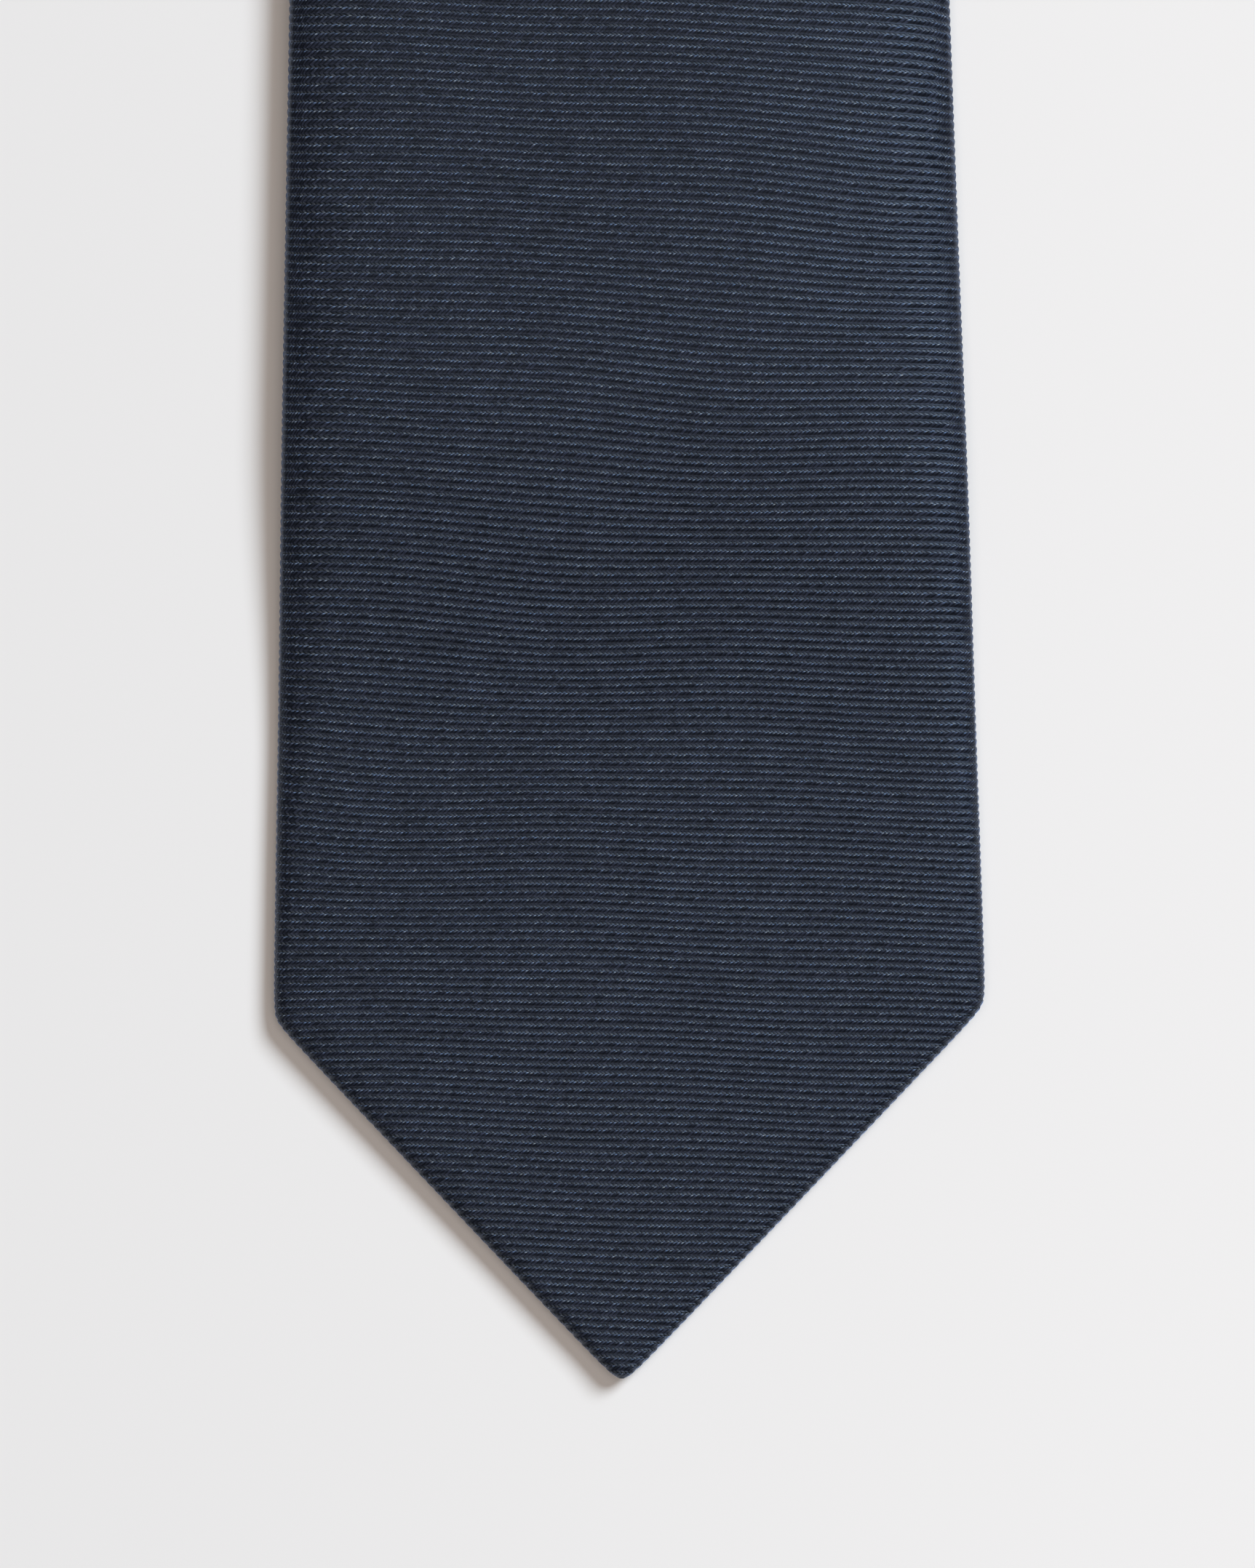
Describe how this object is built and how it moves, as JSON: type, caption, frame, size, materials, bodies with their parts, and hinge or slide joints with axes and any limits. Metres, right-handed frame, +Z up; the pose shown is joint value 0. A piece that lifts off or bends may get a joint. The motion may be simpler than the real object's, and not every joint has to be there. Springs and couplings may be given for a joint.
{
  "type": "necktie",
  "caption": "Men's ribbed silk necktie with a pointed wide blade, folded once at the neck so that the narrow tail lies beside it.",
  "frame": {"origin": "on the surface the tie lies on, under the middle of the box round the whole folded tie", "axes": "+Y along the front blade from its pointed tip to the fold at the neck, +Z up out of the surface and out of the blade's face, +X to the right of the blade seen from above with its tip towards the viewer"},
  "size_m": [0.1974, 0.7466, 0.011],
  "materials": {
    "silk_rib": "fine horizontal corded rib of navy and olive-grey silk, soft satin glints",
    "wool_interlining": "matt brushed wool and cotton canvas",
    "satin_lining": "smooth dark satin weave",
    "woven_label": "fine damask weave, blank",
    "care_ribbon": "white satin ribbon, blank",
    "sewing_thread": "twisted two-ply sewing thread"
  },
  "bodies": {
    "front_blade": {"front_shell": "silk_rib", "neck_shell_front": "silk_rib", "neck_shell_bend": "silk_rib", "interlining_front": "wool_interlining", "interlining_bend": "wool_interlining", "front_tipping": "satin_lining", "keeper_loop": "silk_rib", "keeper_stitch_left": "sewing_thread", "keeper_stitch_right": "sewing_thread", "brand_label": "woven_label", "brand_label_stitch_left": "sewing_thread", "brand_label_stitch_right": "sewing_thread", "front_bar_tack": "sewing_thread", "slip_stitch_front": "sewing_thread", "slip_stitch_bend": "sewing_thread"},
    "tail": {"neck_shell_rear": "silk_rib", "tail_shell": "silk_rib", "interlining_tail": "wool_interlining", "tail_tipping": "satin_lining", "tail_bar_tack": "sewing_thread", "slip_stitch_tail": "sewing_thread", "care_label_stitch": "sewing_thread"},
    "care_label": {"care_label": "care_ribbon"}
  },
  "joints": [
    {"name": "neck_fold", "type": "hinge", "parent": "front_blade", "child": "tail", "pos_m": [0.05869, 0.36644, 0.0055], "axis": [-0.9954, 0.0958, 0], "range_deg": [0, 179], "deforming": ["neck_shell_bend", "interlining_bend", "slip_stitch_bend"]},
    {"name": "care_label_flap", "type": "hinge", "parent": "tail", "child": "care_label", "pos_m": [-0.03519, -0.11053, 0.00387], "axis": [-0.9816, 0.1908, 0], "range_deg": [0, 150]}
  ]
}
